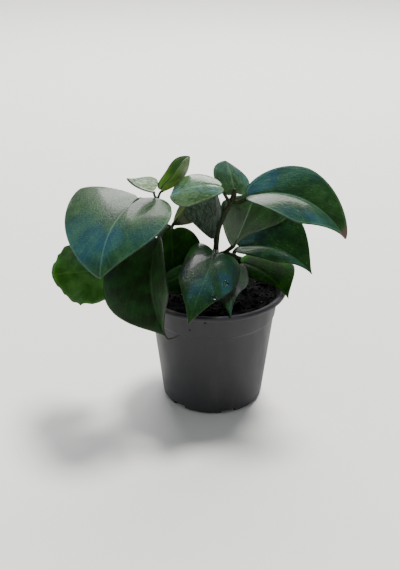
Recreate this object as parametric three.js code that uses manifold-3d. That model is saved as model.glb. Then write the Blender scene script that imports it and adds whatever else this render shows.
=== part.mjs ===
// A young hoya with thick heart-shaped leaves, growing in a 12 cm plastic nursery pot.
// Millimetres, +Z up. The origin is the middle of the pot's flat foot, and the viewer stands at -Y.

import * as THREE from 'three';
import { mergeVertices } from 'three/addons/utils/BufferGeometryUtils.js';
import Module from 'manifold-3d';

const wasm = await Module();
wasm.setup();

// Pot
const RIM_RADIUS = 60;
const POT_HEIGHT = 100;
const FOOT_RADIUS = 38.8;
const WALL = 1.5;
const FLOOR = 2.4;
const COLLAR_LOW_Z = 77;
const RIM_LOW_Z = 96;
const POT_SIDES = 52;
const NOTCH_COUNT = 6;
const NOTCH_WIDTH = 12;
const NOTCH_HEIGHT = 4;
const NOTCH_TURN = 18;

// Soil
const GAP = 0.35;
const SOIL_EDGE_Z = 91;
const SOIL_MOUND = 3;

// Blades and stalks
const BLADE_FIRST = 0.03;
const BLADE_LAST = 0.985;
const RIB_THICKNESS = 2.2;
const MARGIN_THICKNESS = 0.9;
const STEM_SIDES = 8;
const STALK_SIDES = 6;

// Stems: a centre line from the soil upwards, with the radius at each of its points
const STEMS = {
  stem_right: {
    points: [[2, 6, 68], [2, 6, 90], [2, 4, 112], [2, 2, 129], [4, 2, 147], [9, 2, 161],
      [14, 2, 171], [16.5, 3, 181.5]],
    radii: [2.5, 2.5, 2.4, 2.3, 1.9, 1.9, 2.1, 1.5],
    shoot: {
      points: [[2, 3, 123], [9, 4, 125.5], [16, 5, 122.5], [22, 7, 119]],
      radii: [2.0, 2.0, 2.0, 1.7],
    },
  },
  stem_left: {
    points: [[-11, 10, 66], [-12, 11, 88], [-22, 18, 111], [-30, 14, 133], [-35, 9, 145], [-42, 2, 153],
      [-47, -4, 167], [-44, -7, 178]],
    radii: [2.6, 2.6, 2.5, 2.3, 2.5, 2.0, 2.0, 1.6],
  },
};

// Leaves. base and end are the two ends of the blade's midrib, and stalk the stalk's points before base.
// half holds the two half widths, left then right, looking from base to end with the upper face up.
// roll turns the blade about its length, in degrees, and raises the left side.
// sweep and rise bow the midrib to the left and up.
// fold lifts each half from the rib, in degrees, and curl bends it on towards its margin.
// lobe, shoulder, belly, wide, keep, tip and tipWidth draw the outline, as fractions of the length
// and the half width. Where one of them is a pair, it is left then right as well.
const PLAIN = {
  roll: 0,
  sweep: [0, 0],
  rise: [0, 0],
  fold: [0, 0],
  curl: [0, 0],
  lobe: 0.15,
  shoulder: 0.45,
  belly: 0.55,
  wide: 0.38,
  keep: 0.5,
  tip: 0.1,
  tipWidth: 0.06,
  stalkRadius: 1.6,
  rows: 12,
  columns: 8,
};

const LEAVES = {
  leaf_left_large: {
    on: 'stem_left', stalk: [[-46, -3, 164], [-51, -5, 172]],
    base: [-56, -8, 178], end: [-83, -78, 142], half: [39, 69], roll: 8,
    sweep: [-8, -8], rise: [10, 10], fold: [5, 0], curl: [-25, -15],
    lobe: [0.2, 0.05], shoulder: [0.75, 0.35], belly: [0.5, 2.2], wide: [0.3, 0.02],
    keep: [0.5, 0.13], tip: [0.2, 0.15], tipWidth: [0.6, 0.3],
  },
  leaf_left_low: {
    on: 'stem_left', stalk: [[-22, 17, 110], [-48, 14, 108]],
    base: [-74, 5, 110], end: [-126, -30, 122], half: [27, 28], roll: -50,
    rise: [4, 4], curl: [-20, -20],
    lobe: 0.1, shoulder: 0.6, wide: [0.65, 0.55], tip: -0.02, tipWidth: 0.25,
  },
  leaf_front_left: {
    on: 'stem_left', stalk: [[-37, 7, 147], [-39, 0, 148.5]], stalkRadius: 1.8,
    base: [-43, -10, 146], end: [-37, -64, 87], half: [24, 40],
    sweep: [-10, -12], rise: [8, 10], fold: [65, -5], curl: [0, -30],
    lobe: [0, 0.1], shoulder: [0.2, 0.8], wide: [0.65, 0.5],
    keep: [0.2, 0.5], tip: 0.15, tipWidth: [0.15, 0.3],
    tail: [[-36, -65, 86], [-32, -63, 84.5], [-27, -60, 85]],
  },
  leaf_front_middle: {
    on: 'stem_right', stalk: [[2, 2, 128.5], [2, -5, 131]],
    base: [2, -10, 132], end: [-20, -75, 102], half: [26, 24], roll: -16,
    rise: [8, 10], curl: [-40, -45],
    lobe: [0.2, 0.4], shoulder: [0.9, 1.25], wide: [0.25, 0.3], keep: [0.25, 0.35], tip: 0.2, tipWidth: 0.2,
  },
  leaf_front_small: {
    on: 'stem_right', stalk: [[13, 4.6, 124], [14.5, 2, 119]], stalkRadius: 1.2, columns: 6,
    base: [14, -7, 116], end: [13, -62, 99], half: [15, 17],
    rise: [-1, 4], curl: [-30, -30], lobe: [0.3, 0.15], shoulder: [0.8, 0.45], wide: [0.12, 0.4],
    keep: [0.3, 0.3], tip: [0.55, 0.3], tipWidth: [-0.02, 0.12],
  },
  leaf_right_low: {
    on: 'stem_right', stalk: [[20, 6.3, 120.2], [20.5, 11, 115.5]],
    base: [22, 15, 111.5], end: [60, -24, 98], half: [26, 10],
    rise: [8, 10], fold: [30, -20], curl: [-40, -30], lobe: [0.15, 0.3], shoulder: [0.45, 0.7],
    wide: [0.6, 0.2], keep: [0.3, 0.5], tip: [0.1, 0.3],
  },
  leaf_right_middle: {
    on: 'stem_right', stalk: [[16, 5, 122.5], [18, 8, 126]],
    base: [20, 11, 127], end: [79, -14, 115], half: [32, 13], roll: 5,
    rise: [12, 16], fold: [34, 0], curl: [12, -30], wide: 0.55, keep: [0.2, 0.1],
  },
  leaf_right_large: {
    on: 'stem_right', stalk: [[14, 2, 171], [20, 0, 171.5]],
    base: [26, -4, 177], end: [100, -36, 155], half: [27, 27],
    rise: [22, 22], fold: [44, 0], curl: [-10, -30],
    lobe: [0.08, 0.03], shoulder: [0.4, 0.3], wide: [0.42, 0.55],
    keep: [0.2, 0.3], tip: [0.04, 0.1], tipWidth: [0.35, 0.06],
  },
  leaf_top_heart: {
    on: 'stem_right', stalk: [[14.5, 3, 173], [16, 6, 172.5]], rows: 10,
    base: [17, 10, 175], end: [10, 32, 194.3], half: [13.5, 15], roll: 0,
    rise: [2, 2], curl: [-20, -20],
    lobe: [0.15, 0.2], shoulder: [0.6, 0.8], wide: [0.5, 0.3],
    keep: [0.8, 0.3], tip: [0, 0.2], tipWidth: [0.6, 0.3],
  },
  leaf_top_middle: {
    on: 'stem_right', stalk: [[13, 2, 169], [9, -3, 178]], stalkRadius: 1.3, rows: 10,
    base: [6, -3, 185], end: [-34, -14, 181], half: [15, 17], roll: -25,
    rise: [8, 8], curl: [-30, -25], shoulder: [0.35, 0.45], wide: [0.7, 0.45],
    keep: 0.7, tip: [0, 0.1], tipWidth: [0.5, 0.2],
  },
  leaf_tip_flat: {
    on: 'stem_left', stalk: [[-44.8, -7.2, 177], [-46, -9, 181]], stalkRadius: 0.9, rows: 10, columns: 6,
    base: [-46, -10, 184], end: [-66, -18, 198], half: [7, 12], roll: -20,
    rise: [-3, -4], fold: [20, 25], curl: [20, 10],
    lobe: [0.1, 0.25], shoulder: [0.45, 0.9], wide: [0.35, 0.1], keep: [0.5, 0.3], tip: [0.1, 0.2],
    tipWidth: [0.06, 0.35],
  },
  leaf_tip_cupped: {
    on: 'stem_left', stalk: [[-43.3, -6.6, 177], [-41.8, -6, 181]], stalkRadius: 0.9, rows: 10, columns: 6,
    base: [-41, -2.5, 181.8], end: [-19, 10, 206], half: [14, 18], roll: 0,
    rise: [-9, -12], fold: [50, 50], curl: [10, 20],
    wide: 0.6, keep: 0.8, tip: 0, tipWidth: 0.75,
  },
  leaf_back_middle: {
    on: 'stem_right', stalk: [[2.2, 2, 130], [2, 6, 132]], stalkRadius: 1.3,
    base: [1, 8, 135], end: [-4, 24, 181], half: [29, 5], roll: -35,
    sweep: [-8, -8], rise: [0, 3], fold: [0, 40], lobe: 0, shoulder: 0.4, wide: 0.5,
  },
  leaf_back_right: {
    on: 'stem_right', stalk: [[9, 4, 125.5], [13, 4, 129]],
    base: [16, 4, 131], end: [34, 20, 173.5], half: [25, 32], roll: 60,
    rise: [3, 3], curl: [20, 20],
    lobe: [0.05, -0.4], shoulder: [0.1, 0.22], belly: [0.3, 0.3], wide: [0.6, 0.8], keep: [0.3, 0.5],
  },
  leaf_inner_hanging: {
    on: 'stem_left', stalk: [[-34, 10, 142], [-33, 7, 145]], stalkRadius: 1.3, rows: 10,
    base: [-34, 5, 145], end: [-32, -2, 103], half: [26, 16], roll: -10,
    fold: [0, 10], wide: 0.45,
  },
  leaf_inner_upright: {
    on: 'stem_left', stalk: [[-32, 12, 139], [-34, 16, 141]], stalkRadius: 1.2, rows: 10, columns: 6,
    base: [-33, 18, 144], end: [-7, 34, 175], half: [16, 8], roll: -105,
    fold: [0, 70], lobe: -0.1, shoulder: 0.4, wide: 0.5,
  },
  leaf_inner_left: {
    on: 'stem_right', stalk: [[2, 4, 113], [-2, 3, 117]], stalkRadius: 1.3, rows: 10, columns: 6,
    base: [-6, 2, 117], end: [-48, -27, 109], half: [15, 8], roll: -45,
    lobe: 0.1, wide: 0.5,
  },
};

const POT_GREY = 0x3c3f42;
const SOIL_BROWN = 0x1c1511;
const STEM_BROWN = 0x4a4a2c;
const LEAF_GREEN = 0x2f5a2c;
const YOUNG_GREEN = 0x55702f;

// The largest of the separate pieces that a cut leaves.
function largest(body) {
  return body.decompose().sort((first, second) => second.volume() - first.volume())[0];
}

// A closed geometry as a solid that can be joined and cut.
function solid(geometry) {
  const bare = geometry.clone();
  bare.deleteAttribute('normal');
  bare.deleteAttribute('uv');
  const merged = mergeVertices(bare, 1e-4);
  const index = merged.index.array;
  const triVerts = [];
  for (let i = 0; i < index.length; i += 3) {
    const [a, b, c] = index.slice(i, i + 3);
    if (a !== b && b !== c && a !== c) triVerts.push(a, b, c);
  }
  const vertProperties = merged.attributes.position.array;
  const mesh = new wasm.Mesh({ numProp: 3, vertProperties, triVerts: new Uint32Array(triVerts) });
  return new wasm.Manifold(mesh);
}

// A solid as a named mesh with its own material.
function named(name, body, color, roughness) {
  const mesh = body.getMesh();
  const geometry = new THREE.BufferGeometry();
  geometry.setAttribute('position', new THREE.BufferAttribute(new Float32Array(mesh.vertProperties), 3));
  geometry.setIndex(new THREE.BufferAttribute(new Uint32Array(mesh.triVerts), 1));
  geometry.computeVertexNormals();
  const made = new THREE.Mesh(geometry, new THREE.MeshStandardMaterial({ color, roughness, metalness: 0 }));
  made.name = name;
  return made;
}

function closedGeometry(points, faces) {
  const geometry = new THREE.BufferGeometry();
  geometry.setFromPoints(points);
  geometry.setIndex(faces);
  return geometry;
}

function vectors(list) {
  return list.map((point) => new THREE.Vector3(...point));
}

// A round tube along a smooth curve through the points, its radius running evenly between the given radii.
function tube(points, radii, sides, steps) {
  const curve = new THREE.CatmullRomCurve3(vectors(points), false, 'catmullrom', 0.5);
  const side = new THREE.Vector3(0.3, 1, 0.2);
  const rings = [];
  for (let step = 0; step <= steps; step++) {
    const share = step / steps;
    const centre = curve.getPoint(share);
    const across = new THREE.Vector3().crossVectors(curve.getTangent(share), side).normalize();
    const place = share * (radii.length - 1);
    const before = Math.min(Math.floor(place), radii.length - 2);
    const radius = THREE.MathUtils.lerp(radii[before], radii[before + 1], place - before);
    for (let turn = 0; turn < sides; turn++) {
      const spoke = across.clone().applyAxisAngle(curve.getTangent(share), (turn / sides) * 2 * Math.PI);
      rings.push(centre.clone().addScaledVector(spoke, radius));
    }
  }
  const faces = [];
  const last = steps * sides;
  for (let turn = 0; turn < sides; turn++) {
    const next = (turn + 1) % sides;
    for (let ring = 0; ring < last; ring += sides) {
      faces.push(ring + turn, ring + next, ring + sides + next);
      faces.push(ring + turn, ring + sides + next, ring + sides + turn);
    }
    if (turn > 0 && turn < sides - 1) {
      faces.push(0, next, turn);
      faces.push(last, last + turn, last + next);
    }
  }
  return solid(closedGeometry(rings, faces));
}

// One half of a leaf's outline: x along the midrib and y across, both as fractions.
function outlineHalf(leaf, side) {
  const pick = (value) => (Array.isArray(value) ? value[side] : value);
  const wide = pick(leaf.wide);
  const lobe = pick(leaf.lobe);
  const point = (x, y) => new THREE.Vector2(x, y);
  const inner = new THREE.CubicBezierCurve(
    point(0, 0.03),
    point(-lobe, pick(leaf.shoulder)),
    point(wide - pick(leaf.belly) * (wide + lobe / 2), 1),
    point(wide, 1),
  );
  const outer = new THREE.CubicBezierCurve(
    point(wide, 1),
    point(wide + pick(leaf.keep) * (1 - wide), 1),
    point(1 - pick(leaf.tip), pick(leaf.tipWidth)),
    point(1, 0),
  );
  return (t) => (t < 0.5 ? inner.getPoint(t * 2) : outer.getPoint(t * 2 - 1));
}

// The middle surface of a blade, as a function of t, from base to end, and s, from left margin to right.
function bladeSurface(leaf) {
  const [base, end] = vectors([leaf.base, leaf.end]);
  const length = base.distanceTo(end);
  const along = end.clone().sub(base).normalize();
  const roll = THREE.MathUtils.degToRad(leaf.roll);
  const up = new THREE.Vector3(0, 0, 1).projectOnPlane(along).normalize();
  const left = up.clone().cross(along).applyAxisAngle(along, roll);
  up.applyAxisAngle(along, roll);
  const frame = new THREE.Matrix4().makeBasis(along, left, up).setPosition(base);
  const rib = new THREE.CubicBezierCurve3(
    new THREE.Vector3(0, 0, 0),
    new THREE.Vector3(length / 3, leaf.sweep[0], leaf.rise[0]),
    new THREE.Vector3((2 * length) / 3, leaf.sweep[1], leaf.rise[1]),
    new THREE.Vector3(length, 0, 0),
  );
  const startSlope = rib.v1.clone().multiplyScalar(3);
  const halves = [outlineHalf(leaf, 0), outlineHalf(leaf, 1)];

  return (t, s) => {
    const side = s < 0 ? 0 : 1;
    const edge = halves[side](t);
    const x = t + (edge.x - t) * Math.abs(s);
    const across = edge.y * Math.abs(s) * leaf.half[side];
    const inside = Math.max(x, 0);
    const centre = rib.getPoint(inside).addScaledVector(startSlope, Math.min(x, 0));
    const slope = ribSlope(rib, inside).normalize();
    const normal = new THREE.Vector3(0, 0, 1).projectOnPlane(slope).normalize();
    const sideways = normal.clone().cross(slope);
    const fold = THREE.MathUtils.degToRad(leaf.fold[side]);
    const bend = THREE.MathUtils.degToRad(leaf.curl[side] || 0.001) / leaf.half[side];
    const out = (Math.sin(fold + bend * across) - Math.sin(fold)) / bend;
    const lift = (Math.cos(fold) - Math.cos(fold + bend * across)) / bend;
    centre.addScaledVector(sideways, s < 0 ? out : -out);
    centre.addScaledVector(normal, lift);
    return centre.applyMatrix4(frame);
  };
}

function ribSlope(rib, t) {
  const first = rib.v1.clone().sub(rib.v0).multiplyScalar((1 - t) ** 2);
  const second = rib.v2.clone().sub(rib.v1).multiplyScalar(2 * (1 - t) * t);
  const third = rib.v3.clone().sub(rib.v2).multiplyScalar(t ** 2);
  return first.add(second).add(third);
}

// The direction that the upper face of a blade looks in.
function bladeNormal(surface, t, s) {
  const step = 0.01;
  const alongBlade = surface(t + step, s).sub(surface(t - step, s));
  const toRight = surface(t, s + step).sub(surface(t, s - step));
  return toRight.cross(alongBlade).normalize();
}

// A closed blade, thick at its rib and thin at its margins, its two faces split into triangles alike.
function blade(leaf, surface) {
  const { rows, columns } = leaf;
  const upper = [];
  const lower = [];
  for (let row = 0; row <= rows; row++) {
    const t = BLADE_FIRST + ((BLADE_LAST - BLADE_FIRST) * row) / rows;
    for (let column = 0; column <= columns; column++) {
      const s = (2 * column) / columns - 1;
      const swell = (1 - Math.abs(s) ** 1.5) * (1 - 0.6 * t);
      const half = (MARGIN_THICKNESS + (RIB_THICKNESS - MARGIN_THICKNESS) * swell) / 2;
      const middle = surface(t, s);
      const normal = bladeNormal(surface, t, s);
      upper.push(middle.clone().addScaledVector(normal, half));
      lower.push(middle.clone().addScaledVector(normal, -half));
    }
  }
  const under = upper.length;
  const faces = [];
  const at = (row, column) => row * (columns + 1) + column;
  for (let row = 0; row < rows; row++) {
    for (let column = 0; column < columns; column++) {
      const [a, b] = [at(row, column), at(row + 1, column)];
      const [d, c] = [a + 1, b + 1];
      const halves = column < columns / 2 ? [[a, b, c], [a, c, d]] : [[a, b, d], [b, c, d]];
      for (const [p, q, r] of halves) {
        faces.push(p, r, q);
        faces.push(under + p, under + q, under + r);
      }
    }
  }
  const margin = [];
  for (let row = 0; row < rows; row++) margin.push([at(row, 0), at(row + 1, 0)]);
  for (let column = 0; column < columns; column++) margin.push([at(rows, column), at(rows, column + 1)]);
  for (let row = rows; row > 0; row--) margin.push([at(row, columns), at(row - 1, columns)]);
  for (let column = columns; column > 0; column--) margin.push([at(0, column), at(0, column - 1)]);
  for (const [p, q] of margin) faces.push(p, q, under + q, p, under + q, under + p);
  return solid(closedGeometry([...upper, ...lower], faces));
}

// A blade and its stalk as one body. The stalk runs on under the rib, where it thins out,
// and a leaf with a tail ends in a thin thread.
function leafSolid(leaf) {
  const surface = bladeSurface(leaf);
  const beneath = (t, depth) => surface(t, 0).addScaledVector(bladeNormal(surface, t, 0), -depth).toArray();
  const thick = leaf.stalkRadius;
  const stalkPoints = [...leaf.stalk, beneath(0.02, 0.6), beneath(0.14, 0.5), beneath(0.26, 0.3)];
  const radii = [...leaf.stalk.map(() => thick), thick, thick * 0.8, 0.7];
  const body = blade(leaf, surface).add(tube(stalkPoints, radii, STALK_SIDES, 8));
  if (!leaf.tail) return body;
  return body.add(tube([beneath(0.9, 0), ...leaf.tail], [0.5, 0.5, 0.45, 0.35], STALK_SIDES, 6));
}

function pot() {
  const collar = RIM_RADIUS - 6.2;
  const wallTop = [50.3, COLLAR_LOW_Z - 0.6];
  const outside = [
    [FOOT_RADIUS, 0],
    [FOOT_RADIUS + 2, 0.9],
    [FOOT_RADIUS + 3, 3],
    wallTop,
    [wallTop[0] + 0.9, COLLAR_LOW_Z],
    [collar, RIM_LOW_Z - 0.4],
    [collar + 0.8, RIM_LOW_Z],
    [RIM_RADIUS - 0.6, RIM_LOW_Z + 0.2],
    [RIM_RADIUS, RIM_LOW_Z + 0.9],
    [RIM_RADIUS, POT_HEIGHT - 1.4],
    [RIM_RADIUS - 0.8, POT_HEIGHT - 0.3],
    [RIM_RADIUS - 2, POT_HEIGHT],
    [RIM_RADIUS - 3.8, POT_HEIGHT - 0.2],
    [RIM_RADIUS - 4.8, POT_HEIGHT - 1],
  ];
  const inside = [
    [collar - WALL, RIM_LOW_Z - 1.5],
    [wallTop[0] + 0.9 - WALL, COLLAR_LOW_Z],
    [wallTop[0] - WALL, COLLAR_LOW_Z - 1],
    [FOOT_RADIUS + 3 - WALL, 4],
    [FOOT_RADIUS + 0.3, FLOOR],
    [0, FLOOR],
  ];
  const profile = [[0, 0], ...outside, ...inside].map(([r, z]) => new THREE.Vector2(r, z));
  let body = solid(new THREE.LatheGeometry(profile, POT_SIDES).rotateX(Math.PI / 2));
  for (let notch = 0; notch < NOTCH_COUNT; notch++) {
    const cutter = new THREE.BoxGeometry(NOTCH_WIDTH, 8, 2 * NOTCH_HEIGHT);
    cutter.translate(0, -FOOT_RADIUS - 1, 0);
    cutter.rotateZ(THREE.MathUtils.degToRad(NOTCH_TURN + (360 / NOTCH_COUNT) * notch));
    body = body.subtract(solid(cutter));
  }
  return body;
}

// Potting soil that fills the pot to just below its rim, with a low uneven top and a hole for each stem.
function soil(stems) {
  const wallTop = 50.3 - WALL - GAP;
  const profile = [
    [0, FLOOR + GAP],
    [FOOT_RADIUS - 0.2, FLOOR + GAP],
    [FOOT_RADIUS + 3 - WALL - GAP, 4.6],
    [wallTop, COLLAR_LOW_Z - 1],
    [wallTop + 0.8, COLLAR_LOW_Z + 0.4],
    [RIM_RADIUS - 6.2 - WALL - GAP - 1.0, SOIL_EDGE_Z],
    [44, SOIL_EDGE_Z + 0.6],
    [33, SOIL_EDGE_Z + 1.6],
    [22, SOIL_EDGE_Z + 2.4],
    [11, SOIL_EDGE_Z + SOIL_MOUND],
    [0, SOIL_EDGE_Z + SOIL_MOUND],
  ].map(([r, z]) => new THREE.Vector2(r, z));
  const geometry = new THREE.LatheGeometry(profile, POT_SIDES).rotateX(Math.PI / 2);
  const position = geometry.attributes.position;
  for (let i = 0; i < position.count; i++) {
    const [x, y, z] = [position.getX(i), position.getY(i), position.getZ(i)];
    if (z < SOIL_EDGE_Z + 0.3) continue;
    const clods = 0.9 * Math.sin(0.21 * x + 1) * Math.cos(0.17 * y) + 0.5 * Math.sin(0.33 * y - 0.2 * x);
    position.setZ(i, z + clods);
  }
  return stems.reduce((body, wider) => body.subtract(wider), solid(geometry));
}

// A stem with its side shoot, made thicker and longer by extra.
function stemSolid(stem, extra) {
  const grown = ({ points, radii }, steps) => {
    const path = vectors(points);
    const [first, second] = path;
    const [beforeLast, last] = path.slice(-2);
    const start = first.clone().add(first.clone().sub(second).setLength(extra));
    const end = last.clone().add(last.clone().sub(beforeLast).setLength(extra));
    const route = [start, ...path.slice(1, -1), end].map((point) => point.toArray());
    return tube(route, radii.map((radius) => radius + extra), STEM_SIDES, steps);
  };
  const body = grown(stem, (stem.points.length - 1) * 3);
  return stem.shoot ? body.add(grown(stem.shoot, 8)) : body;
}

const plant = new THREE.Group();
const clearOfStem = {};
for (const [name, stem] of Object.entries(STEMS)) {
  plant.add(named(name, stemSolid(stem, 0), STEM_BROWN, 0.6));
  clearOfStem[name] = stemSolid(stem, GAP);
}
plant.add(named('pot', pot(), POT_GREY, 0.55));
plant.add(named('soil', soil(Object.values(clearOfStem)), SOIL_BROWN, 0.95));

for (const [name, shape] of Object.entries(LEAVES)) {
  const leaf = { ...PLAIN, ...shape };
  const color = name.startsWith('leaf_tip') ? YOUNG_GREEN : LEAF_GREEN;
  plant.add(named(name, largest(leafSolid(leaf).subtract(clearOfStem[leaf.on])), color, 0.35));
}

export default plant;
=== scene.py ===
"""A young hoya in a 12 cm nursery pot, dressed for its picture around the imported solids."""

import logging
import math
import random
from dataclasses import dataclass
from enum import Enum

import bmesh
import bpy
import numpy as np
from mathutils import Matrix, Vector, noise


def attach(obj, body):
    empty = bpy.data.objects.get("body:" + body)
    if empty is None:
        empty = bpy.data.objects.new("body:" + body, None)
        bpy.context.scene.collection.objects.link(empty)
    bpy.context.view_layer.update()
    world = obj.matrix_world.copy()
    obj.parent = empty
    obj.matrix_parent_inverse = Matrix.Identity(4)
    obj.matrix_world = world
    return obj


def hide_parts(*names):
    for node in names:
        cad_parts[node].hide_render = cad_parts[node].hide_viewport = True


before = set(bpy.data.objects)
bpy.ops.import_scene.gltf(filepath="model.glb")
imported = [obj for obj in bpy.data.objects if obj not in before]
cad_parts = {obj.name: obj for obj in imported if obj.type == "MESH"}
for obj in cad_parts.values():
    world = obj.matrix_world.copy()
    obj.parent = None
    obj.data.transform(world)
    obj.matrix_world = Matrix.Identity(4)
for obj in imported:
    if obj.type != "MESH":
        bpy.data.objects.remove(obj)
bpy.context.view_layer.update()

log = logging.getLogger("hoya")

Point = tuple[float, float, float]
Pair = tuple[float, float]
Colour = tuple[float, float, float, float]
Faces = list[tuple[int, ...]]
Socket = bpy.types.NodeSocket
MM = 0.001


def linear(code: str) -> Colour:
    """Turns an sRGB hex colour into the linear colour that a shader takes.

    Args:
        code: Six hex digits, such as "2c5a28".

    Returns:
        Linear red, green and blue, and an alpha of one.
    """
    parts = [int(code[i : i + 2], 16) / 255 for i in (0, 2, 4)]
    curved = [p / 12.92 if p <= 0.04045 else ((p + 0.055) / 1.055) ** 2.4 for p in parts]
    return (curved[0], curved[1], curved[2], 1.0)


@dataclass(frozen=True)
class NodeKind:
    """What it takes to add one kind of node.

    The inputs are the sockets that values go to, in their order, and the output is the one in use.
    """

    type_name: str
    inputs: tuple[int | str, ...] = ()
    output: int | str = 0
    settings: tuple[tuple[str, str], ...] = ()


class Node(Enum):
    """The kinds of node that the finishes and the room's light are made of."""

    PLACE = NodeKind("ShaderNodeTexCoord", output="Object")
    DIRECTION = NodeKind("ShaderNodeTexCoord", output="Generated")
    PLAN = NodeKind("ShaderNodeAttribute", output="Vector", settings=(("attribute_name", "plan"),))
    FACE = NodeKind("ShaderNodeAttribute", output="Fac", settings=(("attribute_name", "face"),))
    WEAR = NodeKind("ShaderNodeAttribute", output="Fac", settings=(("attribute_name", "wear"),))
    DIFFUSE_RAY = NodeKind("ShaderNodeLightPath", output="Is Diffuse Ray")
    SPLIT = NodeKind("ShaderNodeSeparateXYZ", (0,))
    STRETCH = NodeKind("ShaderNodeMapping", ("Vector", "Scale"))
    NOISE = NodeKind("ShaderNodeTexNoise", ("Vector", "Scale", "Detail"))
    CELLS = NodeKind("ShaderNodeTexVoronoi", ("Vector", "Scale"), "Distance")
    ADD = NodeKind("ShaderNodeMath", (0, 1), settings=(("operation", "ADD"),))
    SUBTRACT = NodeKind("ShaderNodeMath", (0, 1), settings=(("operation", "SUBTRACT"),))
    MULTIPLY = NodeKind("ShaderNodeMath", (0, 1), settings=(("operation", "MULTIPLY"),))
    DIVIDE = NodeKind("ShaderNodeMath", (0, 1), settings=(("operation", "DIVIDE"),))
    MAXIMUM = NodeKind("ShaderNodeMath", (0, 1), settings=(("operation", "MAXIMUM"),))
    GREATER_THAN = NodeKind("ShaderNodeMath", (0, 1), settings=(("operation", "GREATER_THAN"),))
    ABSOLUTE = NodeKind("ShaderNodeMath", (0,), settings=(("operation", "ABSOLUTE"),))
    SIGN = NodeKind("ShaderNodeMath", (0,), settings=(("operation", "SIGN"),))
    FRACT = NodeKind("ShaderNodeMath", (0,), settings=(("operation", "FRACT"),))
    # A ramp takes the value, where it begins and ends, and its results there.
    RAMP = NodeKind(
        "ShaderNodeMapRange", (0, 1, 2, 3, 4), settings=(("interpolation_type", "SMOOTHSTEP"),)
    )
    # Both mixes take how much of the second shows, the first and the second.
    BLEND = NodeKind("ShaderNodeMix", (0, 6, 7), 2, (("data_type", "RGBA"),))
    MIX = NodeKind("ShaderNodeMix", (0, 2, 3), 0, (("data_type", "FLOAT"),))
    BUMP = NodeKind("ShaderNodeBump", ("Height", "Distance", "Strength"))
    SHADER = NodeKind("ShaderNodeBsdfPrincipled")
    SURFACE = NodeKind("ShaderNodeOutputMaterial", ("Surface",))
    GLOW = NodeKind("ShaderNodeBackground", ("Color", "Strength"))
    ROOM = NodeKind("ShaderNodeOutputWorld", ("Surface",))


class Graph:
    """The nodes of one material or of the room's light."""

    def __init__(self, tree: bpy.types.NodeTree) -> None:
        """Takes a node tree and empties it."""
        tree.nodes.clear()
        self.tree = tree

    def add(self, node: Node, *values: object, inputs: dict | None = None) -> Socket | None:
        """Adds one node with its settings and links.

        Args:
            node: Which kind of node it is.
            *values: A value or an output socket for each of the kind's inputs, in their order.
            inputs: The same for further inputs, by their names.

        Returns:
            The kind's output, or nothing where the graph ends.
        """
        kind = node.value
        made = self.tree.nodes.new(kind.type_name)
        for label, setting in kind.settings:
            setattr(made, label, setting)
        for label, value in [*zip(kind.inputs, values), *(inputs or {}).items()]:
            if isinstance(value, Socket):
                self.tree.links.new(value, made.inputs[label])
            else:
                made.inputs[label].default_value = value
        return made.outputs[kind.output] if made.outputs else None

    def close(self, inputs: dict) -> None:
        """Ends a material in one principled shader with these inputs."""
        self.add(Node.SURFACE, self.add(Node.SHADER, inputs=inputs))


def new_material(name: str) -> tuple[bpy.types.Material, Graph]:
    """Starts an empty material.

    Args:
        name: The material's name.

    Returns:
        The material and its graph.
    """
    material = bpy.data.materials.new(name)
    material.use_nodes = True
    return material, Graph(material.node_tree)


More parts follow.
